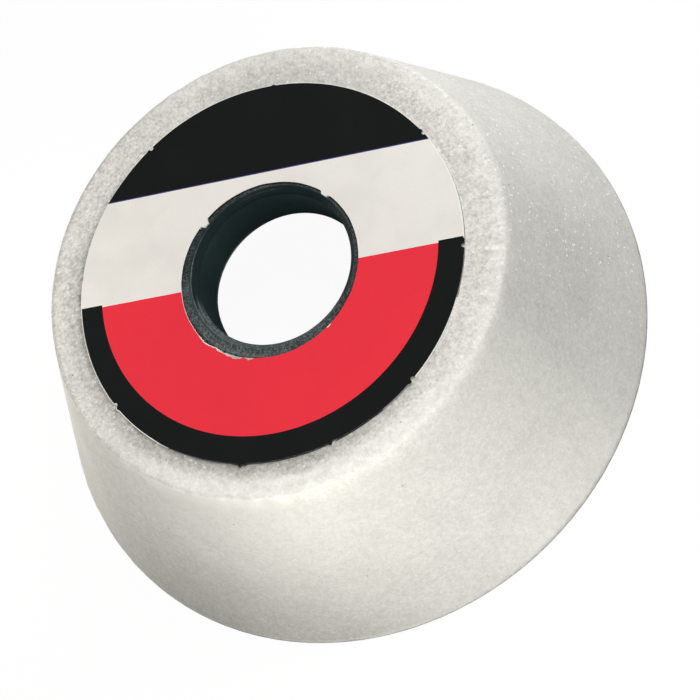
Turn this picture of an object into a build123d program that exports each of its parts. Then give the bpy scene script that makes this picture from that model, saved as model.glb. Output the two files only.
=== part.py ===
from build123d import *
from math import atan2, cos, pi, radians, sin, tan
import os

# Flaring cup grinding wheel, in millimetres.
# It stands on its grinding rim: Z = 0 is the rim, +Z is the wheel's axis and the back face is on top.
# +X is the reading direction of the paper blotter on the back face.

# Moulded abrasive cup
wheel_diameter = 127.0  # across the grinding rim
wheel_height = 44.45  # from the rim to the back face
back_diameter = 95.25  # across the back face, before its edge is rounded
back_thickness = 11.5  # from the back face to the floor of the cup
back_edge_radius = 1.4
rim_width = 9.5  # flat grinding face, from outside to inside
rim_land = 0.8  # short upright band between the rim and the flaring side
rim_edge_break = 0.5  # bevel on the rim's inside edge
floor_diameter = 76.2  # where the floor and the flaring inside wall would meet
floor_corner_radius = 6.0  # rounding between the two

# Bush that lines the hole
arbor_diameter = 31.75
arbor_clearance = 0.25  # on the diameter
bush_wall = 3.2
bush_lead_in = 1.3  # bevel round the bore at the back face
bush_rear_bevel = 0.4  # bevel round the bore's other end, on the floor of the cup

# Paper blotters, one under each mounting flange
blotter_thickness = 0.5
bush_cover = 1.0  # how far each blotter laps over the end of the bush
back_margin = 7.45  # bare abrasive between the blotter and the edge of the back face
floor_margin = 1.4  # bare floor between the inner blotter and the rounded corner
blotter_shift_x = -0.5  # the back blotter is stuck on a little off centre
blotter_shift_y = -0.8
nick_radius = 0.45  # half-round nicks that the cutting die leaves in the back blotter's edge
nick_angles = (128, 87, 35, -4, -45, -73, -100, -144, 172)

wheel_radius = wheel_diameter / 2
back_radius = back_diameter / 2
bore_radius = (arbor_diameter + arbor_clearance) / 2
bush_radius = bore_radius + bush_wall
blotter_hole_radius = bush_radius - bush_cover

# Inside of the cup: the floor's height, and the flat of the floor inside the rounded corner
floor_height = wheel_height - back_thickness
floor_radius = floor_diameter / 2
rim_hole_radius = wheel_radius - rim_width
wall_lean = atan2(rim_hole_radius - floor_radius, floor_height)
corner_reach = floor_corner_radius / tan((pi / 2 + wall_lean) / 2)
floor_flat_radius = floor_radius - corner_reach

back_blotter_radius = back_radius - back_margin
inner_blotter_radius = floor_flat_radius - floor_margin


# Abrasive cup: one profile, from the hole out over the back face, down the flare and up the inside
with BuildPart() as abrasive_body:
    with BuildSketch(Plane.XZ) as cup_profile:
        with BuildLine():
            Polyline(
                (bush_radius, wheel_height),
                (back_radius, wheel_height),
                (wheel_radius, rim_land),
                (wheel_radius, 0),
                (rim_hole_radius, 0),
                (floor_radius, floor_height),
                (bush_radius, floor_height),
                close=True,
            )
        make_face()
        back_corner = cup_profile.vertices().group_by(Axis.Y)[-1].sort_by(Axis.X)[-1]
        fillet(back_corner, radius=back_edge_radius)
        rim_corner = cup_profile.vertices().group_by(Axis.Y)[0].sort_by(Axis.X)[0]
        chamfer(rim_corner, length=rim_edge_break)
        floor_line = cup_profile.edges().filter_by(Axis.X).sort_by(Axis.Y)[1]
        fillet(floor_line.vertices().sort_by(Axis.X)[-1], radius=floor_corner_radius)
    revolve(axis=Axis.Z)
abrasive_body.part.label = "abrasive_body"


# Bush: a plain sleeve, flush with the back face and the floor, bevelled at both ends of its bore
with BuildPart() as bore_bush:
    with BuildSketch(Plane.XY.offset(floor_height)):
        Circle(bush_radius)
        Circle(bore_radius, mode=Mode.SUBTRACT)
    extrude(amount=back_thickness)
    bore_edges = bore_bush.edges().filter_by(GeomType.CIRCLE).group_by(SortBy.RADIUS)[0]
    rear_edge, front_edge = bore_edges.sort_by(Axis.Z)
    chamfer(front_edge, length=bush_lead_in)
    chamfer(rear_edge, length=bush_rear_bevel)
bore_bush.part.label = "bore_bush"


# Back blotter: the printed paper disc that the photograph shows, with the nicks in its cut edge
with BuildPart() as back_blotter:
    with BuildSketch(Plane.XY.offset(wheel_height)):
        with Locations((blotter_shift_x, blotter_shift_y)):
            Circle(back_blotter_radius)
            Circle(blotter_hole_radius, mode=Mode.SUBTRACT)
        for angle in nick_angles:
            nick_x = blotter_shift_x + back_blotter_radius * cos(radians(angle))
            nick_y = blotter_shift_y + back_blotter_radius * sin(radians(angle))
            with Locations((nick_x, nick_y)):
                Circle(nick_radius, mode=Mode.SUBTRACT)
    extrude(amount=blotter_thickness)
back_blotter.part.label = "back_blotter"


# Inner blotter: the plain paper disc under the flange on the floor of the cup
with BuildPart() as inner_blotter:
    with BuildSketch(Plane.XY.offset(floor_height)):
        Circle(inner_blotter_radius)
        Circle(blotter_hole_radius, mode=Mode.SUBTRACT)
    extrude(amount=-blotter_thickness)
inner_blotter.part.label = "inner_blotter"


os.makedirs("parts", exist_ok=True)
export_step(abrasive_body.part, "parts/abrasive_body.step")
export_step(bore_bush.part, "parts/bore_bush.step")
export_step(back_blotter.part, "parts/back_blotter.step")
export_step(inner_blotter.part, "parts/inner_blotter.step")
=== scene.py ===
import math

import bmesh
import bpy
from mathutils import Matrix, Vector, noise


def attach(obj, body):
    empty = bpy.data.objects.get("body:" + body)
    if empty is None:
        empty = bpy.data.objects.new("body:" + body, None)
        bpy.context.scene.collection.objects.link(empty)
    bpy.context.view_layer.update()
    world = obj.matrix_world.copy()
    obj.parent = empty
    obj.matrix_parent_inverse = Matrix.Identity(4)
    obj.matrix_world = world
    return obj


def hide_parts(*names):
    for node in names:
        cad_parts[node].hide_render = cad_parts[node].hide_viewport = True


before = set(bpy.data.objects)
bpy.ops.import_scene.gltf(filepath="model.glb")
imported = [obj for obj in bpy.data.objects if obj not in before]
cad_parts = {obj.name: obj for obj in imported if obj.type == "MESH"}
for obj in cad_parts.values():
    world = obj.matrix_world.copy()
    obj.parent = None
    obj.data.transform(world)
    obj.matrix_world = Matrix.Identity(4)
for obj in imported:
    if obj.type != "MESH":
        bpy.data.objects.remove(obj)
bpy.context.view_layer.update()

MM = 0.001

# Sizes repeated from the CAD source, in millimetres
WHEEL_RADIUS = 63.5
WHEEL_HEIGHT = 44.45
BACK_RADIUS = 47.625
BACK_EDGE_RADIUS = 1.4
RIM_LAND = 0.8
RIM_HOLE_RADIUS = 54.0
RIM_EDGE_BREAK = 0.5
FLOOR_RADIUS = 38.1
FLOOR_HEIGHT = 32.95
FLOOR_CORNER_RADIUS = 6.0
BUSH_RADIUS = 19.2
BORE_RADIUS = 16.0
BUSH_LEAD_IN = 1.3
BUSH_REAR_BEVEL = 0.4
BLOTTER_THICKNESS = 0.5
BLOTTER_HOLE_RADIUS = 18.2
BACK_BLOTTER_RADIUS = 40.175
INNER_BLOTTER_RADIUS = 32.93
BLOTTER_SHIFT = (-0.5, -0.8)

# Mesh segments round the axis
CUP_SEGMENTS = 560
BUSH_SEGMENTS = 300
WASHER_SEGMENTS = 240

# Directions are degrees round the wheel's axis, from +X, the print's right, towards +Y, its top.
# A patch of wear, dirt or light has a strength, a middle direction, and how many degrees from it
# the patch is at full strength and has ended.


# Small helpers
def smooth(low, high, value):
    """0 below low, 1 above high and an even curve between them."""
    t = min(1.0, max(0.0, (value - low) / (high - low)))
    return t * t * (3 - 2 * t)


def wave(point, size, seed):
    """Smooth noise from -1 to 1, with bumps of about that size in millimetres."""
    x, y, z = point
    return noise.noise(Vector((x / size + seed, y / size - seed, z / size + 2 * seed)))


def waves(point, *layers):
    """Sum of layers of noise, each with its height, size and seed."""
    return sum(height * wave(point, size, seed) for height, size, seed in layers)


def grains(point, size, seed):
    """0 at the middle of a grain, about 1 in the gaps between grains."""
    x, y, z = point
    found = noise.voronoi(Vector((x / size + seed, y / size, z / size - seed)))[0]
    return min(1.0, found[0] / 0.75)


def angle_between(first, second):
    """Signed difference of two directions in degrees."""
    return (first - second + 180) % 360 - 180


def near(angle, middle, full, none):
    """1 within full degrees of the middle direction, falling to 0 at none degrees from it."""
    return smooth(none, full, abs(angle_between(angle, middle)))


def patches(angle, table):
    """Sum of a table's patches in that direction."""
    return sum(strength * near(angle, *where) for strength, *where in table)


def strongest(angle, table):
    """The strongest of a table's patches in that direction."""
    return max(strength * near(angle, *where) for strength, *where in table)


def peak(angle, middle, reach):
    """1 in the middle direction, falling evenly to 0 at reach degrees from it."""
    return max(0.0, 1 - abs(angle_between(angle, middle)) / reach)


def bands(angle, distance, table):
    """Sum of patches that also have a distance where they begin and one where they are full."""
    total = 0.0
    for strength, where, (begin, full) in table:
        total += strength * near(angle, *where) * smooth(begin, full, distance)
    return total


def make_object(name, mesh, node):
    """Links a mesh as the piece that stands for a CAD node."""
    made = bpy.data.objects.new(name, mesh)
    bpy.context.scene.collection.objects.link(made)
    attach(made, "root")
    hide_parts(node)


# Profiles as lists of (radius, height, outward normal in that plane, zone)
def line_points(start, end, step, zone):
    """Points from start up to but not including end, about step apart."""
    (r0, z0), (r1, z1) = start, end
    length = math.hypot(r1 - r0, z1 - z0)
    count = max(1, round(length / step))
    normal = ((z0 - z1) / length, (r1 - r0) / length)
    points = []
    for k in range(count):
        t = k / count
        points.append((r0 + (r1 - r0) * t, z0 + (z1 - z0) * t, normal, zone))
    return points


def arc_points(centre, radius, begin, finish, count, zone, side=1):
    """Points along an arc, whose normal looks away from the centre, or to it where side is -1."""
    points = []
    for k in range(count):
        angle = math.radians(begin + (finish - begin) * k / count)
        direction = (math.cos(angle), math.sin(angle))
        spot = (centre[0] + radius * direction[0], centre[1] + radius * direction[1])
        points.append((spot[0], spot[1], (side * direction[0], side * direction[1]), zone))
    return points


def lathe(name, profile, segments, displace, labels):
    """A closed mesh turned from a closed profile. displace gives depth and labelled values."""
    mesh = bpy.data.meshes.new(name)
    verts = []
    values = []
    for k in range(segments):
        turn = 2 * math.pi * k / segments
        c, s = math.cos(turn), math.sin(turn)
        for r, z, (nr, nz), zone in profile:
            depth, shade = displace((r * c, r * s, z), r, zone)
            r_in, z_in = r - nr * depth, z - nz * depth
            verts.append((r_in * c * MM, r_in * s * MM, z_in * MM))
            values.append(shade)
    rows = len(profile)
    faces = []
    for k in range(segments):
        here, there = k * rows, (k + 1) % segments * rows
        for i in range(rows):
            j = (i + 1) % rows
            faces.append((here + i, here + j, there + j, there + i))
    mesh.from_pydata(verts, [], faces)
    for index, label in enumerate(labels):
        layer = mesh.attributes.new(label, "FLOAT", "POINT")
        layer.data.foreach_set("value", [shade[index] for shade in values])
    fix_normals(mesh)
    mesh.polygons.foreach_set("use_smooth", [True] * len(mesh.polygons))
    return mesh


def fix_normals(mesh):
    """Turns every face outward."""
    edit = bmesh.new()
    edit.from_mesh(mesh)
    bmesh.ops.recalc_face_normals(edit, faces=edit.faces)
    edit.to_mesh(mesh)
    edit.free()


# Node material helpers
class Graph:
    """A short way to write a material's node tree."""

    def __init__(self, name):
        self.material = bpy.data.materials.new(name)
        self.material.use_nodes = True
        self.tree = self.material.node_tree
        self.tree.nodes.clear()
        self.place = self.add("ShaderNodeTexCoord").outputs["Object"]

    def add(self, kind, **settings):
        node = self.tree.nodes.new(kind)
        for key, value in settings.items():
            setattr(node, key, value)
        return node

    def plug(self, socket, value):
        """Joins an output to a socket, or sets the socket to a plain value."""
        if isinstance(value, bpy.types.NodeSocket):
            self.tree.links.new(value, socket)
        else:
            socket.default_value = value

    def math(self, operation, *values, clamp=False):
        node = self.add("ShaderNodeMath", operation=operation, use_clamp=clamp)
        for socket, value in zip(node.inputs, values):
            self.plug(socket, value)
        return node.outputs[0]

    def noise(self, size, detail, rough, seed):
        """Noise from about 0 to 1, with features of that size in millimetres."""
        node = self.add("ShaderNodeTexNoise", noise_dimensions="4D")
        self.plug(node.inputs["Vector"], self.place)
        self.plug(node.inputs["Scale"], 1 / (size * MM))
        self.plug(node.inputs["Detail"], detail)
        self.plug(node.inputs["Roughness"], rough)
        self.plug(node.inputs["W"], seed)
        return node.outputs["Fac"]

    def cells(self, size, seed):
        """Distance to the nearest cell point in cells, and its random number and vector."""
        moved = self.add("ShaderNodeVectorMath", operation="ADD")
        self.plug(moved.inputs[0], self.place)
        self.plug(moved.inputs[1], (seed, 0.7 * seed, 0.3 * seed))
        node = self.add("ShaderNodeTexVoronoi")
        self.plug(node.inputs["Vector"], moved.outputs[0])
        self.plug(node.inputs["Scale"], 1 / (size * MM))
        split = self.add("ShaderNodeSeparateColor")
        self.plug(split.inputs[0], node.outputs["Color"])
        return node.outputs["Distance"], split.outputs[0], node.outputs["Color"]

    def ramp(self, value, low, high, to_low=0.0, to_high=1.0):
        """Maps low..high onto to_low..to_high, held at both ends."""
        node = self.add("ShaderNodeMapRange", interpolation_type="SMOOTHSTEP")
        for socket, number in zip(node.inputs, (value, low, high, to_low, to_high)):
            self.plug(socket, number)
        return node.outputs[0]

    def mix(self, share, first, second):
        node = self.add("ShaderNodeMix", data_type="RGBA")
        self.plug(node.inputs[0], share)
        self.plug(node.inputs[6], first)
        self.plug(node.inputs[7], second)
        return node.outputs[2]

    def scale(self, color, factor):
        node = self.add("ShaderNodeVectorMath", operation="SCALE")
        self.plug(node.inputs[0], color)
        self.plug(node.inputs[3], factor)
        return node.outputs[0]

    def attribute(self, name):
        return self.add("ShaderNodeAttribute", attribute_name=name).outputs["Fac"]

    def bump(self, height, distance, strength, before=None):
        """A bump whose height of 0 to 1 stands for that distance in millimetres."""
        node = self.add("ShaderNodeBump")
        self.plug(node.inputs["Height"], height)
        self.plug(node.inputs["Distance"], distance * MM)
        self.plug(node.inputs["Strength"], strength)
        if before is not None:
            self.plug(node.inputs["Normal"], before)
        return node.outputs[0]

    def surface(self, color, rough, normal, **settings):
        """The finished material. Settings are the shader's inputs, with _ for a blank."""
        shader = self.add("ShaderNodeBsdfPrincipled")
        self.plug(shader.inputs["Base Color"], color)
        self.plug(shader.inputs["Roughness"], rough)
        self.plug(shader.inputs["Normal"], normal)
        for key, value in settings.items():
            self.plug(shader.inputs[key.replace("_", " ")], value)
        output = self.add("ShaderNodeOutputMaterial")
        self.plug(output.inputs["Surface"], shader.outputs[0])
        return self.material


def spots(graph, size, share, radius, seed):
    """1 in small round spots: share of the cells have one, of that radius in cells."""
    distance, chance = graph.cells(size, seed)[:2]
    inside = graph.ramp(distance, radius, radius * 0.5)
    chosen = graph.math("LESS_THAN", chance, share)
    return graph.math("MULTIPLY", inside, chosen)


def tilted(graph, normal, size, seed, share, amount):
    """The normal, turned a random way in each cell where share is above 0, like crystal facets."""
    random = graph.cells(size, seed)[2]
    centred = graph.add("ShaderNodeVectorMath", operation="SUBTRACT")
    graph.plug(centred.inputs[0], random)
    graph.plug(centred.inputs[1], (0.5, 0.5, 0.5))
    turn = graph.scale(centred.outputs[0], graph.math("MULTIPLY", share, amount))
    total = graph.add("ShaderNodeVectorMath", operation="ADD")
    graph.plug(total.inputs[0], normal)
    graph.plug(total.inputs[1], turn)
    unit = graph.add("ShaderNodeVectorMath", operation="NORMALIZE")
    graph.plug(unit.inputs[0], total.outputs[0])
    return unit.outputs[0]


# White fused grit in a porous vitrified bond
CUP_LABELS = ("darkening_and_painted_shade", "face", "wear_and_painted_light", "facets_and_painted_glints")
SMEAR_RADIUS = 20.0  # resin of the bush has spread this far over the abrasive
SMEAR_DARKNESS = 7.2
BACK_BARE_RADIUS = 38.5  # the paper hides the back face up to here
FLOOR_BARE_RADIUS = 32.0  # the inner paper hides the floor up to here
RIM_INSET = 0.03  # the grinding face starts this far inside the rim's outer corner


def abrasive_material():
    g = Graph("vitrified_abrasive")
    darkening_and_painted_shade, face, wear_and_painted_light, facets_and_painted_glints = [g.attribute(label) for label in CUP_LABELS]

    coarse = g.noise(0.62, detail=3.0, rough=0.6, seed=1.0)
    fine = g.noise(0.30, detail=2.0, rough=0.6, seed=2.0)
    mottle = g.noise(7.0, detail=2.0, rough=0.5, seed=3.0)
    patch = g.noise(1.5, detail=2.0, rough=0.5, seed=7.0)
    gap, grit_tone = g.cells(0.72, 8.0)[:2]
    dust_tone = g.cells(0.38, 9.0)[1]

    # Base tone: warm on the back face, paler at the rubbed back edge, part wear and part painted
    # light, cooler on the cone
    tone = g.mix(face, (0.785, 0.775, 0.728, 1), (0.850, 0.828, 0.772, 1))
    tone = g.mix(wear_and_painted_light, tone, (0.930, 0.915, 0.862, 1))

    # Grains of their own tones with darker gaps and pores: how strong on the back face and the cone
    shade = 1.0
    for value, on_face, on_cone in (
        (g.math("SUBTRACT", grit_tone, 0.5), 0.14, 0.07),
        (g.math("SUBTRACT", dust_tone, 0.5), 0.15, 0.09),
        (g.ramp(gap, 0.40, 0.85), -0.10, -0.02),
        (g.ramp(coarse, 0.60, 0.30), -0.15, -0.03),
        (g.ramp(fine, 0.45, 0.28), -0.17, -0.08),
        (g.math("SUBTRACT", patch, 0.5), 0.18, 0.15),
        (g.math("SUBTRACT", mottle, 0.5), 0.16, 0.15),
    ):
        amount = g.math("MULTIPLY_ADD", face, on_face - on_cone, on_cone)
        shade = g.math("MULTIPLY_ADD", value, amount, shade)
    # Darkening of the colour from grain, stains and resin, and painted shade and painted light by
    # direction and height, with painted shadows beside the paper
    shade = g.math("MULTIPLY_ADD", darkening_and_painted_shade, -0.12, shade)
    tone = g.scale(tone, g.math("MINIMUM", shade, 1.20))

    # Bright crystal facets in two sizes, part grain and part painted glint, and a few dark grains
    # of foreign matter
    bright_facet_painted_glint = g.math("MULTIPLY", spots(g, 1.0, 0.42, 0.32, 4.0), facets_and_painted_glints)
    tone = g.mix(bright_facet_painted_glint, tone, (1.0, 1.0, 1.0, 1))
    small_facet_painted_glint = g.math("MULTIPLY", spots(g, 0.55, 0.20, 0.36, 5.0), facets_and_painted_glints)
    tone = g.mix(g.math("MULTIPLY", small_facet_painted_glint, 0.45), tone, (0.96, 0.96, 0.94, 1))
    dirt = spots(g, 3.4, 0.14, 0.055, 6.0)
    tone = g.mix(g.math("MULTIPLY", dirt, 0.85), tone, (0.09, 0.08, 0.07, 1))

    shiny = g.math("ADD", bright_facet_painted_glint, g.math("MULTIPLY", small_facet_painted_glint, 0.5), clamp=True)
    rough = g.ramp(shiny, 0.0, 1.0, 0.92, 0.30)
    normal = g.bump(coarse, 0.26, g.math("MULTIPLY_ADD", face, 0.40, 0.14))
    normal = g.bump(fine, 0.10, g.math("MULTIPLY_ADD", face, 0.35, 0.28), normal)
    normal = tilted(g, normal, 1.0, 4.0, bright_facet_painted_glint, 1.0)
    return g.surface(tone, rough, normal, Specular_IOR_Level=0.4)


# Moulded abrasive cup with a coarse, worn back face and a finer cone
def cup_profile():
    """The CAD profile, with rounded corners, as points in order."""
    cone_length = math.hypot(WHEEL_RADIUS - BACK_RADIUS, WHEEL_HEIGHT - RIM_LAND)
    fall = math.degrees(math.atan2(WHEEL_HEIGHT - RIM_LAND, WHEEL_RADIUS - BACK_RADIUS))
    reach = BACK_EDGE_RADIUS * math.tan(math.radians(fall / 2))
    along = ((WHEEL_RADIUS - BACK_RADIUS) / cone_length, (RIM_LAND - WHEEL_HEIGHT) / cone_length)
    cone_top = (BACK_RADIUS + along[0] * reach, WHEEL_HEIGHT + along[1] * reach)
    lean = math.atan2(RIM_HOLE_RADIUS - FLOOR_RADIUS, FLOOR_HEIGHT)
    opening = math.degrees(math.pi / 2 + lean)
    corner = FLOOR_CORNER_RADIUS / math.tan(math.radians(opening / 2))
    wall_top = (FLOOR_RADIUS + corner * math.sin(lean), FLOOR_HEIGHT - corner * math.cos(lean))
    break_top = (
        RIM_HOLE_RADIUS - RIM_EDGE_BREAK * math.sin(lean),
        RIM_EDGE_BREAK * math.cos(lean),
    )
    top, floor = WHEEL_HEIGHT, FLOOR_HEIGHT
    points = line_points((BUSH_RADIUS, top), (SMEAR_RADIUS, top), 0.4, "smear")
    points += line_points((SMEAR_RADIUS, top), (BACK_BARE_RADIUS, top), 2.8, "covered")
    points += line_points((BACK_BARE_RADIUS, top), (BACK_RADIUS - reach, top), 0.32, "back")
    arc_centre = (BACK_RADIUS - reach, top - BACK_EDGE_RADIUS)
    points += arc_points(arc_centre, BACK_EDGE_RADIUS, 90, 90 - fall, 4, "edge")
    points += line_points(cone_top, (WHEEL_RADIUS, RIM_LAND), 0.75, "cone")
    points += line_points((WHEEL_RADIUS, RIM_LAND), (WHEEL_RADIUS, 0), 0.2, "land")
    rim_inside = RIM_HOLE_RADIUS + RIM_EDGE_BREAK
    points += line_points((WHEEL_RADIUS - RIM_INSET, 0), (rim_inside, 0), 0.75, "rim")
    points += line_points((rim_inside, 0), break_top, 0.5, "inside")
    points += line_points(break_top, wall_top, 0.95, "inside")
    round_centre = (FLOOR_RADIUS - corner, floor - FLOOR_CORNER_RADIUS)
    start = opening - 90
    points += arc_points(round_centre, FLOOR_CORNER_RADIUS, start, 90, 8, "inside", -1)
    points += line_points((FLOOR_RADIUS - corner, floor), (FLOOR_BARE_RADIUS, floor), 0.8, "inside")
    points += line_points((FLOOR_BARE_RADIUS, floor), (BUSH_RADIUS, floor), 3.2, "covered")
    points += line_points((BUSH_RADIUS, floor), (BUSH_RADIUS, top), 6.0, "covered")
    return points


# Wear of the back edge, strengthened as painted light towards the bottom and weakened as painted
# shade
# at the left and top: changes of its strength, and how many millimetres wider it is
USUAL_WEAR = 0.55
EDGE_WEAR_AND_PAINTED_LIGHT = ((0.45, -85, 20, 60), (-0.50, 172, 35, 70), (-0.20, 75, 15, 40))
EDGE_SPREAD = ((1.5, -84, 24, 60),)

# Back face: painted shade and painted light in patches by direction and radius, painted shadows
# by distance from the paper, patches where the grain is calmer, and a stretch of fine streaks
BACK_PAINTED_LIGHT_AND_SHADE = (
    (1.2, (-135, 45, 80), (45.0, 43.0)),
    (0.6, (72, 20, 50), (45.0, 43.0)),
    (2.0, (165, 20, 55), (46.5, 47.3)),
    (0.6, (42, 22, 45), (46.6, 47.2)),
    (-0.5, (5, 35, 65), (0.0, 1.0)),  # paler over the whole width
)
PAPER_SHADOW = ((2.3, (172, 22, 46), (1.7, 0.2)), (1.3, (-90, 45, 80), (2.2, 0.2)))
CALM_GRAIN = ((1.0, 80, 15, 35), (0.5, -130, 35, 60))
STREAKS = (-3, 6, 16)

# Cone: one patch of painted shade and one of painted light, by height
CONE_PAINTED_LIGHT_AND_SHADE = ((0.6, (-6, 10, 26), (10, 24)), (-0.75, (-108, 8, 34), (12, 26)))


def edge_wear_and_painted_light(angle):
    """How strong the paler back edge is, at most 1, part wear and part painted light by direction,
    and how much wider it is there.
    """
    return USUAL_WEAR + patches(angle, EDGE_WEAR_AND_PAINTED_LIGHT), patches(angle, EDGE_SPREAD)


def wear_depth(point):
    """How far the worn edge is rounded off, in lumps."""
    return 0.10 + waves(point, (0.42, 3.4, 7.7), (0.22, 1.7, 6.1), (0.10, 1.0, 8.3))


def back_relief(point, r, angle, lumps, coarse, fine):
    """The coarse back face: bare grit from the blotter out, paler towards the rubbed edge, with
    painted shade, painted light and painted shadows round the paper.
    """
    strength, spread = edge_wear_and_painted_light(angle)
    from_middle = math.hypot(point[0] - BLOTTER_SHIFT[0], point[1] - BLOTTER_SHIFT[1])
    past_paper = from_middle - BACK_BLOTTER_RADIUS
    bare = smooth(-0.9, 0.7, past_paper)
    ragged = waves(point, (1.5, 4.5, 9.0), (0.7, 1.8, 12.0))
    wear_and_painted_light = strength * smooth(43.6 - spread, 46.2 - spread, r + ragged)
    streak = wave((0.79 * angle, 0.12 * r, 0), 0.55, 4.4)
    streak *= near(angle, *STREAKS) * smooth(42.0, 43.5, r)
    depth = 0.10 + 0.18 * coarse + 0.11 * lumps + 0.07 * fine + wear_and_painted_light * wear_depth(point)
    depth = max(0.0, depth + 0.20 * streak) * bare
    calm = strongest(angle, CALM_GRAIN)
    # Painted shade and painted light by direction, with calm patches and streaks
    painted_shade_and_streaks = bands(angle, r, BACK_PAINTED_LIGHT_AND_SHADE) + 0.25 * calm - 2.0 * streak
    shadow = bands(angle, past_paper, PAPER_SHADOW)
    shade = coarse * bare * (1 - 0.5 * wear_and_painted_light) + painted_shade_and_streaks + shadow
    return depth, (shade, (1 - 0.93 * wear_and_painted_light) * (1 - 0.45 * calm), wear_and_painted_light, 0.45)


def cone_relief(point, angle, lumps, coarse, fine):
    """The finer flaring side: rubbed at the back edge, dark along the foot, and painted shade and
    light by height.
    """
    strength, spread = edge_wear_and_painted_light(angle)
    ragged = waves(point, (1.3, 4.5, 9.0), (0.6, 1.8, 12.0))
    z = point[2]
    near_edge = strength * (1 - smooth(0.3, 3.2 + spread, WHEEL_HEIGHT - z + ragged))
    depth = 0.05 + 0.05 * coarse + 0.05 * wave(point, 7.0, 2.2) + 0.025 * fine
    depth += near_edge * wear_depth(point)
    foot = 2.6 * (1 - smooth(0.75, 1.25, z + 0.25 * lumps))
    # Painted shade and light: the lower left darker towards the foot and paler towards the top, the
    # lower right paler towards the foot
    low = 1 - 2 * z / WHEEL_HEIGHT
    painted_shade_by_height = 1.8 * low * near(angle, -105, 12, 48)
    painted_shade_by_height -= 1.3 * max(0.0, low) * near(angle, -40, 8, 25)
    painted_shade_by_height += bands(angle, z, CONE_PAINTED_LIGHT_AND_SHADE)
    # Painted glints: many more bright facet spots towards the upper right, where the top lamp falls
    facets_and_painted_glints = 0.25 + 0.90 * near(angle, 42, 34, 60)
    shade = 0.35 * coarse + foot + painted_shade_by_height
    return max(0.0, depth), (shade, 0.25 * near_edge, 0.8 * near_edge, facets_and_painted_glints)


def cup_relief(point, r, zone):
    """How deep a point of the cup lies under its nominal face, and its shading values."""
    if zone in ("covered", "smear"):
        return 0.0, (SMEAR_DARKNESS if zone == "smear" else 0.0, 1.0, 0.0, 0.0)
    angle = math.degrees(math.atan2(point[1], point[0]))
    lumps = wave(point, 2.4, 3.1)
    coarse = grains(point, 1.25, 1.7)
    fine = wave(point, 0.8, 5.3)
    if zone in ("back", "edge"):
        return back_relief(point, r, angle, lumps, coarse, fine)
    if zone == "cone":
        return cone_relief(point, angle, lumps, coarse, fine)
    if zone == "land":
        dark_foot = 3.4 * (1 - smooth(0.1, 0.6, point[2]))
        return max(0.02, 0.06 + 0.06 * coarse + 0.12 * lumps), (dark_foot, 0.2, 0.0, 0.3)
    if zone == "rim":
        return max(0.0, 0.10 * coarse + 0.03 * fine), (0.4 * coarse, 0.35, 0.2, 0.6)
    return max(0.0, 0.06 + 0.08 * coarse + 0.05 * lumps), (0.4 * coarse, 0.2, 0.0, 0.5)


def make_cup():
    mesh = lathe("abrasive_cup", cup_profile(), CUP_SEGMENTS, cup_relief, CUP_LABELS)
    make_object("abrasive_cup", mesh, "abrasive_body")
    mesh.materials.append(abrasive_material())


# Bush of dark cast resin, speckled on its sawn end and smooth in the bore
BUSH_LABELS = ("shade", "sawn", "wear_and_painted_light")

# Radii of the light lines on the bevel, part wear and part painted highlight: at its lip, and two
# lower down
LIP_LINE = 17.22
LOWER_LINE = 16.55
UPPER_LINE = 16.75

# Speckled patches of the bevel and of the end face, and stretches of the lip with a painted
# highlight
BEVEL_SAWN = ((1.0, -95, 55, 75), (0.4, 0, 30, 60))
END_SAWN = ((0.85, 150, 50, 75), (0.65, 30, 40, 60))
LIP_PAINTED_HIGHLIGHT = ((0.42, -165, 35, 60), (0.30, 20, 25, 50))


def bush_material():
    g = Graph("bush_resin")
    shade, sawn_share, wear_and_painted_highlight = [g.attribute(label) for label in BUSH_LABELS]
    speck = g.noise(0.34, detail=3.0, rough=0.65, seed=11.0)
    cloud = g.noise(3.0, detail=2.0, rough=0.5, seed=12.0)
    dark = (0.034, 0.058, 0.059, 1)
    tone = g.mix(g.ramp(cloud, 0.35, 0.65), dark, (0.038, 0.063, 0.065, 1))
    sawn = g.mix(g.ramp(speck, 0.40, 0.68), (0.040, 0.048, 0.049, 1), (0.170, 0.195, 0.190, 1))
    grit = spots(g, 0.42, 0.20, 0.36, 14.0)
    sawn = g.mix(g.math("MULTIPLY", grit, 0.5), sawn, (0.30, 0.33, 0.335, 1))
    tone = g.mix(sawn_share, tone, sawn)
    scratch = g.ramp(g.noise(0.8, detail=4.0, rough=0.7, seed=13.0), 0.45, 0.62)
    broken = g.math("MULTIPLY_ADD", scratch, 0.6, 0.4)
    # Painted shade from the shade attribute darkens the resin
    tone = g.scale(tone, g.math("SUBTRACT", 1.0, shade))
    # Light lines, part wear and part painted highlight, broken by scratches
    tone = g.mix(g.math("MULTIPLY", broken, wear_and_painted_highlight), tone, (0.40, 0.43, 0.44, 1))
    rough = g.math("MULTIPLY_ADD", sawn_share, 0.25, 0.50)
    normal = g.bump(speck, 0.10, g.math("MULTIPLY_ADD", sawn_share, 0.8, 0.1))
    return g.surface(tone, rough, normal, Specular_IOR_Level=0.0)


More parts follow.
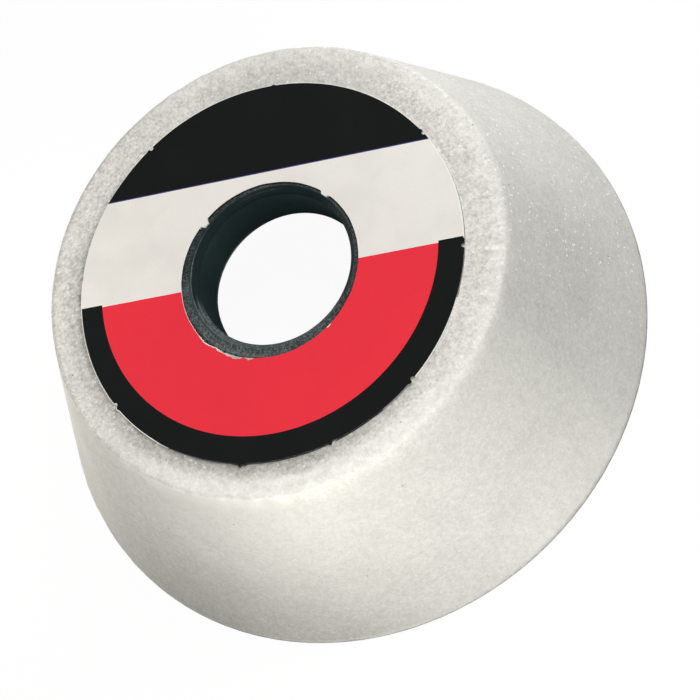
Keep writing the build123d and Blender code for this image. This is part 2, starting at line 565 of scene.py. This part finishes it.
def bush_profile():
    """The CAD sleeve's profile as points in order."""
    top, bottom = WHEEL_HEIGHT, FLOOR_HEIGHT
    lip = BORE_RADIUS + BUSH_LEAD_IN
    rear = BORE_RADIUS + BUSH_REAR_BEVEL
    points = line_points((lip, top), (BUSH_RADIUS, top), 0.2, "end")
    points += line_points((BUSH_RADIUS, top), (BUSH_RADIUS, bottom), 3.0, "hidden")
    points += line_points((BUSH_RADIUS, bottom), (rear, bottom), 0.4, "end")
    points += line_points((rear, bottom), (BORE_RADIUS, bottom + BUSH_REAR_BEVEL), 0.2, "bevel")
    low_edge, high_edge = bottom + BUSH_REAR_BEVEL, top - BUSH_LEAD_IN
    fine_end = low_edge + 0.8
    points += line_points((BORE_RADIUS, low_edge), (BORE_RADIUS, fine_end), 0.2, "bore")
    points += line_points((BORE_RADIUS, fine_end), (BORE_RADIUS, high_edge), 0.8, "bore")
    points += line_points((BORE_RADIUS, high_edge), (lip, top), 0.18, "bevel")
    return points


def line_at(r, middle):
    """1 on a thin ring of that radius."""
    return 1 - smooth(0.04, 0.20, abs(r - middle))


def bevel_relief(point, r, angle):
    """The bevel round the bore: sawn at the bottom and right, painted shade elsewhere, with light
    lines of wear and painted highlight.
    """
    sawn = strongest(angle, BEVEL_SAWN)
    lip = line_at(r, LIP_LINE + 0.06 * wave(point, 3.0, 1.0))
    lower = line_at(r, LOWER_LINE + 0.12 * wave(point, 5.0, 1.5))
    # Light lines: part wear and part painted highlight along the bevel's edges
    line = max(
        lip * (0.06 + patches(angle, LIP_PAINTED_HIGHLIGHT)),
        0.30 * lower * near(angle, -146, 14, 26),
        0.08 * line_at(r, UPPER_LINE) * near(angle, 97, 8, 22),
        0.06 * near(angle, -90, 40, 70),
    )
    # Where it is not sawn, the bevel is darkened as painted shade, as it faces up into the light
    return 0.015 + 0.015 * wave(point, 1.2, 2.0), (0.58 * (1 - sawn), sawn, line)


def end_relief(point, r, angle):
    """The sawn end face, with darker stretches and a few light chips."""
    depth = 0.05 + waves(point, (0.06, 0.9, 4.0), (0.05, 2.5, 6.0))
    sawn = max(0.15 + 0.78 * near(angle, -100, 70, 105), strongest(angle, END_SAWN))
    dark = near(angle, 15, 45, 80) * (0.25 + 0.45 * smooth(17.8, 18.6, r))
    dark = max(dark, 0.42 * near(angle, 142, 30, 44))
    lip_free = 1 - near(angle, 180, 40, 70) * (1 - smooth(17.4, 17.7, r))
    chips = 0.25 * near(angle, -118, 20, 32) * smooth(18.2, 18.9, r)
    return max(0.0, depth), (dark, sawn * lip_free, chips)


def bore_shade(point, angle):
    """The smooth bore: painted shade at the left, where lamp light reaches in, and a painted
    highlight along its lower edge.
    """
    # Painted highlight along the lower edge, strongest at the left, and painted shade on the wall
    # at the lower left
    lower_edge = 1 - smooth(0.25, 0.65, point[2] - FLOOR_HEIGHT - BUSH_REAR_BEVEL)
    lit = near(angle, 158, 25, 55)
    return 0.30 * near(angle, -160, 22, 45), 0.0, lower_edge * (0.05 + 0.95 * lit)


def bush_relief(point, r, zone):
    """How deep a point of the bush lies under its nominal face, and its shading values."""
    angle = math.degrees(math.atan2(point[1], point[0]))
    if zone == "hidden":
        return 0.0, (0.0, 1.0, 0.0)
    if zone == "end":
        return end_relief(point, r, angle)
    if zone == "bevel":
        return bevel_relief(point, r, angle)
    return 0.0, bore_shade(point, angle)


def make_bush():
    mesh = lathe("bush_sleeve", bush_profile(), BUSH_SEGMENTS, bush_relief, BUSH_LABELS)
    make_object("bush_sleeve", mesh, "bore_bush")
    mesh.materials.append(bush_material())


# Printed paper
def paper_material(name, color, rough, second=None, inked=False, fibre=0.35):
    """Paper with fibres showing, or the same paper under an even coat of ink."""
    g = Graph(name)
    fibres = g.noise(0.5, detail=4.0, rough=0.7, seed=21.0)
    cloud = g.noise(9.0, detail=2.0, rough=0.5, seed=22.0)
    shade = second or tuple(0.88 * part for part in color[:3]) + (1,)
    tone = g.mix(g.ramp(cloud, 0.35, 0.70, 0.0, 0.55), color, shade)
    tone = g.mix(g.ramp(fibres, 0.45, 0.75, 0.0, 0.10 if inked else fibre), tone, shade)
    if inked:
        pinhole = spots(g, 3.2, 0.10, 0.035, 23.0)
        tone = g.mix(g.math("MULTIPLY", pinhole, 0.5), tone, (0.75, 0.72, 0.68, 1))
    else:
        fleck = spots(g, 7.0, 0.60, 0.028, 24.0)
        tone = g.mix(g.math("MULTIPLY", fleck, 0.65), tone, (0.20, 0.18, 0.17, 1))
    normal = g.bump(fibres, 0.02, 0.5)
    return g.surface(tone, rough, normal, Specular_IOR_Level=0.02 if inked else 0.05)


# Printed fields of the back blotter, its unprinted and torn paper, and its cut side in painted
# shade, in millimetres
FIELDS = ("cream", "black", "red", "line", "bare_paper", "cut_side_painted_shade", "torn_paper")
BLACK_CHORD = 21.30  # straight lower edge of the black segment, above the blotter's centre
LINE_WIDTH = 0.22  # thin blue line under it
RED_CHORD = -1.36  # straight upper edge of the red field
BAND_CHORD = -0.92  # straight upper ends of the black band beside it
PRINT_SLOPE = 0.0022  # rise per length of these edges, as the print is turned a little
RED_RADIUS = 35.25
RED_CENTRE = (-0.33, 0.78)  # the round print sits a little off the disc's centre
RAGGED_STRETCHES = ((44, 54), (132, 142), (208, 262), (306, 314))  # degrees round the hole
TORN_MIDDLE = -113  # middle of the most torn stretch of the hole's edge, in degrees
TONGUES = ((137, 3.6, 0.85), (49, 3.4, 0.50))  # direction, reach in degrees and length in mm
HOLE_EXTRA = 0.36  # the photographed hole's radius over the one in the CAD
BROAD_BURR = (-100, 3.2)  # direction and reach in degrees
EDGE_SAG = 0.10  # how far the paper's cut edges bend down
EDGE_RING = 0.02  # width of the outer edge that bends down
INK_GAP = 0.03  # least width of bare paper along the outer edge
RING_SHARES = (0.15, 0.35, 0.6, 0.8, 1.0)  # rings of the mesh between the hole and the red's edge

# Mesh lines of the blotter, in degrees: everywhere, at the marks and along the ragged stretches
LINE_STEP = 1.2
MARK_STEP = 0.13
MARK_REACH = 16  # lines on each side of a mark
RAGGED_STEP = 0.4

# Marks of the cutting die in the outer edge, in mm along the edge and across it:
# direction, nick's depth and shift, burr's height and shift
EDGE_MARKS = (
    (128, 0.50, 0.0, 0.12, 0.8),
    (87, 0.0, 0.0, 0.24, 0.0),
    (35, 0.35, -0.3, 0.20, 0.5),
    (-4, 0.60, 0.0, 0.0, 0.0),
    (-45, 0.50, 0.1, 0.28, -0.8),
    (-73, 0.30, 0.5, 0.28, -0.3),
    (-100, 0.0, 0.0, 0.45, 0.0),
    (-98.6, 0.0, 0.0, 0.20, 0.0),
    (-144.6, 0.45, -0.3, 0.20, 0.7),
    (172, 0.12, 0.0, 0.0, 0.0),
)
NICK_RADIUS = 0.45

# Where unprinted paper shows along the hole and along the outer edge, with its width
HOLE_BARE = ((0.04, 190, 30, 60), (0.13, -134, 7, 9), (0.20, -50, 1.2, 2.0))
RIM_BARE = ((0.26, 14.8, 16.0, 17.0), (0.09, 90, 50, 58), (0.12, -156, 27, 33))

# Tone of the outer edge's side within so many degrees of a direction. Elsewhere it is the grey cut
# side, paper painted dark as shade
OUTER_TONES = ((-90, 33, "black"), (-152, 29, "bare_paper"), (-32, 12, "bare_paper"))


def blotter_angles():
    """Directions of the blotter's mesh lines, closer together where its edges are ragged."""
    angles = {round(k * LINE_STEP, 3) for k in range(round(360 / LINE_STEP))}
    for mark in EDGE_MARKS:
        for k in range(-MARK_REACH, MARK_REACH + 1):
            angles.add(round((mark[0] + k * MARK_STEP) % 360, 3))
    for low, high in RAGGED_STRETCHES:
        for k in range(int((high - low) / RAGGED_STEP)):
            angles.add(round(low + k * RAGGED_STEP, 3))
    return sorted(angles)


def outer_radius(angle):
    """The die-cut edge, with a nick and a small burr at each mark."""
    radius = BACK_BLOTTER_RADIUS - 0.015 + 0.015 * math.sin(math.radians(7 * angle))
    radius -= 0.14 * near(angle, -90, 28, 36)
    radius += 0.30 * peak(angle, *BROAD_BURR)
    for middle, depth, nick_shift, height, burr_shift in EDGE_MARKS:
        across = math.radians(angle_between(angle, middle)) * BACK_BLOTTER_RADIUS
        from_nick = abs(across - nick_shift) / NICK_RADIUS
        if from_nick < 1:
            radius -= depth * math.sqrt(1 - from_nick**2)
        radius += height * smooth(0.55, 0.05, abs(across - burr_shift))
    return radius


def tongue(angle, middle, reach):
    """1 at the middle of a ragged tongue of paper and 0 past its reach in degrees."""
    turn = angle_between(angle, middle)
    ragged = 0.6 * wave((turn, middle, 0), 1.1, 2.0)
    return smooth(reach, 0.45 * reach, abs(turn) + ragged)


def hole_spot(angle):
    """A spot near the hole's edge in that direction, where its noise is read."""
    turn = math.radians(angle)
    return 20 * math.cos(turn), 20 * math.sin(turn), 0


def hole_radius(angle):
    """The hole's edge: cut clean, but torn along one stretch, with two tongues left over."""
    spot = hole_spot(angle)
    radius = BLOTTER_HOLE_RADIUS + HOLE_EXTRA + 0.06 * math.cos(math.radians(angle))
    radius += 0.06 * wave(spot, 3.0, 8.0)
    radius += 0.24 * peak(angle, -142, 19)
    radius += torn_share(angle) * (0.08 + waves(spot, (0.30, 1.5, 3.0), (0.20, 0.6, 5.0)))
    for middle, reach, length in TONGUES:
        radius -= length * tongue(angle, middle, reach)
    return radius


def torn_share(angle):
    """1 at the start of the torn stretch, at the lower left, falling to 0 at its end."""
    turn = angle_between(angle, 238)
    return smooth(-21.0, -18.5, turn) * (1 - smooth(-16.0, 18.0, turn))


def bare_width(angle):
    """How wide the unprinted paper shows along the hole's edge."""
    torn = near(angle, TORN_MIDDLE, 12, 14)
    ragged = 0.30 + waves(hole_spot(angle), (0.50, 1.7, 6.0), (0.30, 0.6, 7.0))
    return 0.02 + patches(angle, HOLE_BARE) + torn * max(0.0, ragged)


def blotter_top(x, y):
    """Height of the paper's upper face, which is very slightly cockled."""
    cockle = 0.025 + 0.025 * wave((x, y, 0), 14.0, 5.0)
    return WHEEL_HEIGHT + BLOTTER_THICKNESS - cockle


def blotter_column(angle):
    """The points of one mesh line: over the upper face from the hole out, then back underneath."""
    c, s = math.cos(math.radians(angle)), math.sin(math.radians(angle))
    hole, rim = hole_radius(angle), outer_radius(angle)
    red_edge = RED_RADIUS + RED_CENTRE[0] * c + RED_CENTRE[1] * s
    radii = [hole, hole + bare_width(angle)]
    radii += [hole + (red_edge - hole) * share for share in RING_SHARES]
    radii += [0.5 * (red_edge + BACK_BLOTTER_RADIUS), rim - INK_GAP - patches(angle, RIM_BARE)]
    radii += [rim - EDGE_RING, rim]
    column = []
    for index, radius in enumerate(radii):
        z = blotter_top(radius * c, radius * s)
        if index in (0, len(radii) - 1):
            z -= EDGE_SAG
        column.append((radius * c, radius * s, z))
    return column + [(rim * c, rim * s, WHEEL_HEIGHT), (hole * c, hole * s, WHEEL_HEIGHT)]


def field_of(x, y):
    """Which printed field a spot on the upper face belongs to."""
    in_red = math.hypot(x - RED_CENTRE[0], y - RED_CENTRE[1]) < RED_RADIUS
    height = y - PRINT_SLOPE * x
    if height > BLACK_CHORD:
        return FIELDS.index("black")
    if height > BLACK_CHORD - LINE_WIDTH:
        return FIELDS.index("line")
    if height > (RED_CHORD if in_red else BAND_CHORD):
        return FIELDS.index("cream")
    return FIELDS.index("red" if in_red else "black")


def outer_tone(angle):
    """The field that the outer edge's side shows in that direction."""
    for middle, reach, tone in OUTER_TONES:
        if abs(angle_between(angle, middle)) < reach:
            return tone
    return "cut_side_painted_shade"


def edge_tones(angle):
    """The fields of the hole's rim, of its wall and of the outer edge in that direction."""
    if abs(angle_between(angle, TORN_MIDDLE)) < 13:
        hole_rim, hole_wall = "torn_paper", "torn_paper"
    else:
        on_tongue = min(abs(angle_between(angle, middle)) for middle, _, _ in TONGUES) < 4
        # Away from the tongues the hole's wall takes the black ink as painted shade
        hole_rim, hole_wall = "bare_paper", "bare_paper" if on_tongue else "black"
    return [FIELDS.index(name) for name in (hole_rim, hole_wall, outer_tone(angle))]


def blotter_faces(edit):
    """Builds the rings of faces. Only those of the printed area keep material 0."""
    angles = blotter_angles()
    columns = [[edit.verts.new(spot) for spot in blotter_column(angle)] for angle in angles]
    count = len(columns[0])
    bare = FIELDS.index("bare_paper")
    for k, column in enumerate(columns):
        following = columns[(k + 1) % len(columns)]
        hole_rim, hole_wall, outer = edge_tones(angles[k])
        materials = {0: hole_rim, count - 5: bare, count - 4: outer, count - 3: outer}
        materials.update({count - 2: bare, count - 1: hole_wall})
        for i in range(count):
            j = (i + 1) % count
            face = edit.faces.new((column[i], column[j], following[j], following[i]))
            face.material_index = materials.get(i, 0)
            face.smooth = False


def make_back_blotter():
    """The printed paper disc, cut along the straight edges of the printed fields."""
    edit = bmesh.new()
    blotter_faces(edit)
    across = Vector((-PRINT_SLOPE, 1, 0)).normalized()
    for height in (BLACK_CHORD, BLACK_CHORD - LINE_WIDTH, BAND_CHORD, RED_CHORD):
        geometry = edit.verts[:] + edit.edges[:] + edit.faces[:]
        spot = (0, height, 0)
        bmesh.ops.bisect_plane(edit, geom=geometry, dist=1e-5, plane_co=spot, plane_no=across)
    bmesh.ops.recalc_face_normals(edit, faces=edit.faces)
    for face in edit.faces:
        if face.material_index == 0:
            middle = face.calc_center_median()
            face.material_index = field_of(middle.x, middle.y)
    shift = Vector((BLOTTER_SHIFT[0], BLOTTER_SHIFT[1], 0))
    for vert in edit.verts:
        vert.co = (vert.co + shift) * MM
    mesh = bpy.data.meshes.new("printed_blotter")
    edit.to_mesh(mesh)
    edit.free()
    for material in blotter_materials():
        mesh.materials.append(material)
    make_object("printed_blotter", mesh, "back_blotter")


def blotter_materials():
    """The inks and the bare paper, in the order of FIELDS."""
    black, black_patch = (0.0092, 0.0110, 0.0105, 1), (0.012, 0.013, 0.013, 1)
    red, red_patch = (0.88, 0.040, 0.062, 1), (0.84, 0.038, 0.060, 1)
    blue, blue_patch = (0.06, 0.045, 0.19, 1), (0.08, 0.06, 0.23, 1)
    torn, torn_patch = (0.74, 0.70, 0.62, 1), (0.16, 0.15, 0.14, 1)
    return (
        paper_material("print_cream", (0.875, 0.845, 0.79, 1), 0.6),
        paper_material("print_black", black, 0.55, black_patch, inked=True),
        paper_material("print_red", red, 0.55, red_patch, inked=True),
        paper_material("print_line", blue, 0.45, blue_patch, inked=True),
        paper_material("bare_paper", (0.97, 0.96, 0.93, 1), 0.8, fibre=0.2),
        # The cut side is painted grey as shade
        paper_material("cut_side_painted_shade", (0.27, 0.26, 0.23, 1), 0.9),
        paper_material("torn_paper", torn, 0.9, torn_patch, fibre=1.0),
    )


# Plain paper washer on the floor of the cup
WASHER_BREAK = 0.08  # how far its cut edges are softened


def washer_relief(point, r, zone):
    """The paper is slightly cockled, and its cut edges are slightly rough."""
    cockle = 0.03 + 0.03 * wave(point, 9.0, 4.0)
    edge = 0.02 * (1 + wave(point, 0.8, 2.0))
    return (edge if zone == "edge" else cockle), ()


def make_inner_blotter():
    low, high = FLOOR_HEIGHT - BLOTTER_THICKNESS, FLOOR_HEIGHT
    hole, rim = BLOTTER_HOLE_RADIUS, INNER_BLOTTER_RADIUS
    side_end = low + WASHER_BREAK
    profile = line_points((hole, high), (rim, high), 1.5, "hidden")
    profile += line_points((rim, high), (rim, side_end), 0.14, "edge")
    profile += line_points((rim, side_end), (rim - WASHER_BREAK, low), 0.2, "edge")
    profile += line_points((rim - WASHER_BREAK, low), (hole + WASHER_BREAK, low), 0.8, "paper")
    profile += line_points((hole + WASHER_BREAK, low), (hole, side_end), 0.2, "edge")
    profile += line_points((hole, side_end), (hole, high), 0.14, "edge")
    mesh = lathe("plain_blotter", profile, WASHER_SEGMENTS, washer_relief, ())
    make_object("plain_blotter", mesh, "inner_blotter")
    tone, patch = (0.72, 0.68, 0.60, 1), (0.64, 0.60, 0.52, 1)
    mesh.materials.append(paper_material("plain_paper", tone, 0.85, patch))


# Stage: a pale floor that stays white to the camera and still takes a faint shadow
WHITE = (1, 1, 1, 1)
FLOOR_REACH = 4.0  # metres from the axis to each side of the floor
FLOOR_BOUNCE = (0.36, 0.36, 0.355, 1)  # what the floor gives back to the wheel
FLOOR_GLOW = 0.95  # share of plain white in the floor that the camera sees
WORLD_LEVEL = 0.16  # strength of the even light from all round

# Square soft lamps: name, direction, height in degrees, light on a face turned to the lamp,
# size and distance in metres, and colour
LAMPS = (
    ("top", 30, 60, 0.659, 0.26, 0.45, (1, 1, 1)),
    ("key", -80, 20, 0.345, 0.08, 0.13, (1.0, 0.985, 0.94)),
    ("front", -50, 0, 0.110, 0.08, 0.13, (1, 1, 1)),
    ("side", 60, 20, 0.194, 0.08, 0.13, (1, 1, 1)),
    ("back", -180, 20, 0.413, 0.08, 0.13, (1.0, 0.975, 0.915)),
)
LAMP_TARGET = (0, 0, 0.025)  # the middle of the wheel


def add_shader(tree, kind, color, strength=None):
    """A shader node of one colour, and of a strength where it has one."""
    node = tree.nodes.new(kind)
    node.inputs["Color"].default_value = color
    if strength is not None:
        node.inputs["Strength"].default_value = strength
    return node.outputs[0]


def blend_shaders(tree, first, second):
    """A mix of two shaders, whose share is set by the caller."""
    blend = tree.nodes.new("ShaderNodeMixShader")
    tree.links.new(first, blend.inputs[1])
    tree.links.new(second, blend.inputs[2])
    return blend


def show_to_camera(tree, output_kind, unseen, seen):
    """Gives the surface one shader for the rays that show it, and another for bounced light."""
    blend = blend_shaders(tree, unseen, seen)
    tree.links.new(seen_share(tree), blend.inputs[0])
    output = tree.nodes.new(output_kind)
    tree.links.new(blend.outputs[0], output.inputs["Surface"])


def seen_share(tree):
    """1 for camera, glossy and transmission rays, and 0 for the light that bounces about."""
    path = tree.nodes.new("ShaderNodeLightPath")
    total = path.outputs["Is Camera Ray"]
    for name in ("Is Glossy Ray", "Is Transmission Ray"):
        larger = tree.nodes.new("ShaderNodeMath")
        larger.operation = "MAXIMUM"
        tree.links.new(total, larger.inputs[0])
        tree.links.new(path.outputs[name], larger.inputs[1])
        total = larger.outputs[0]
    return total


def floor_material():
    material = bpy.data.materials.new("floor")
    material.use_nodes = True
    tree = material.node_tree
    tree.nodes.clear()
    bounce = add_shader(tree, "ShaderNodeBsdfDiffuse", FLOOR_BOUNCE)
    shown = add_shader(tree, "ShaderNodeBsdfDiffuse", WHITE)
    glow = add_shader(tree, "ShaderNodeEmission", WHITE, 1.0)
    white = blend_shaders(tree, shown, glow)
    white.inputs[0].default_value = FLOOR_GLOW
    show_to_camera(tree, "ShaderNodeOutputMaterial", bounce, white.outputs[0])
    return material


def make_floor():
    mesh = bpy.data.meshes.new("floor")
    reach = FLOOR_REACH
    corners = [(-reach, -reach, 0), (reach, -reach, 0), (reach, reach, 0), (-reach, reach, 0)]
    mesh.from_pydata(corners, [], [(0, 1, 2, 3)])
    floor = bpy.data.objects.new("floor", mesh)
    bpy.context.scene.collection.objects.link(floor)
    mesh.materials.append(floor_material())


def make_world():
    world = bpy.data.worlds.new("studio")
    bpy.context.scene.world = world
    world.use_nodes = True
    tree = world.node_tree
    tree.nodes.clear()
    soft = add_shader(tree, "ShaderNodeBackground", WHITE, WORLD_LEVEL)
    white = add_shader(tree, "ShaderNodeBackground", WHITE, 1.0)
    show_to_camera(tree, "ShaderNodeOutputWorld", soft, white)


def add_lamp(name, azimuth, elevation, level, size, distance, color):
    """A square soft lamp aimed at the wheel. level is the light it casts on a face turned to it."""
    a, e = math.radians(azimuth), math.radians(elevation)
    direction = Vector((math.cos(a) * math.cos(e), math.sin(a) * math.cos(e), math.sin(e)))
    lamp = bpy.data.lights.new(name, "AREA")
    lamp.size = size
    lamp.energy = level * math.pi**2 * distance**2
    lamp.color = color
    made = bpy.data.objects.new(name, lamp)
    made.location = Vector(LAMP_TARGET) + direction * distance
    made.rotation_mode = "QUATERNION"
    made.rotation_quaternion = (-direction).to_track_quat("-Z", "Y")
    made.visible_camera = False
    bpy.context.scene.collection.objects.link(made)


# Camera, found by fitting the outline, the back face, the blotter and the hole
CAMERA_PLACE = (0.18745, -0.24178, 0.52843)
CAMERA_RIGHT = (0.9365, -0.03537, -0.34887)
CAMERA_UP = (0.16852, 0.91787, 0.35933)
CAMERA_BACKWARD = (0.30751, -0.39531, 0.86555)
CAMERA_LENS = 151.07  # focal length in mm for a sensor 36 mm wide


def make_camera():
    lens = bpy.data.cameras.new("camera")
    lens.sensor_width = 36
    lens.lens = CAMERA_LENS
    lens.clip_start = 0.05
    lens.clip_end = 20
    camera = bpy.data.objects.new("camera", lens)
    bpy.context.scene.collection.objects.link(camera)
    axes = (Vector(CAMERA_RIGHT), Vector(CAMERA_UP), Vector(CAMERA_BACKWARD))
    turn = Matrix(axes).transposed().to_4x4()
    camera.matrix_world = Matrix.Translation(Vector(CAMERA_PLACE)) @ turn
    bpy.context.scene.camera = camera


make_camera()
make_cup()
make_bush()
make_back_blotter()
make_inner_blotter()
make_floor()
make_world()
for settings in LAMPS:
    add_lamp(*settings)
bpy.context.scene.view_settings.view_transform = "Standard"
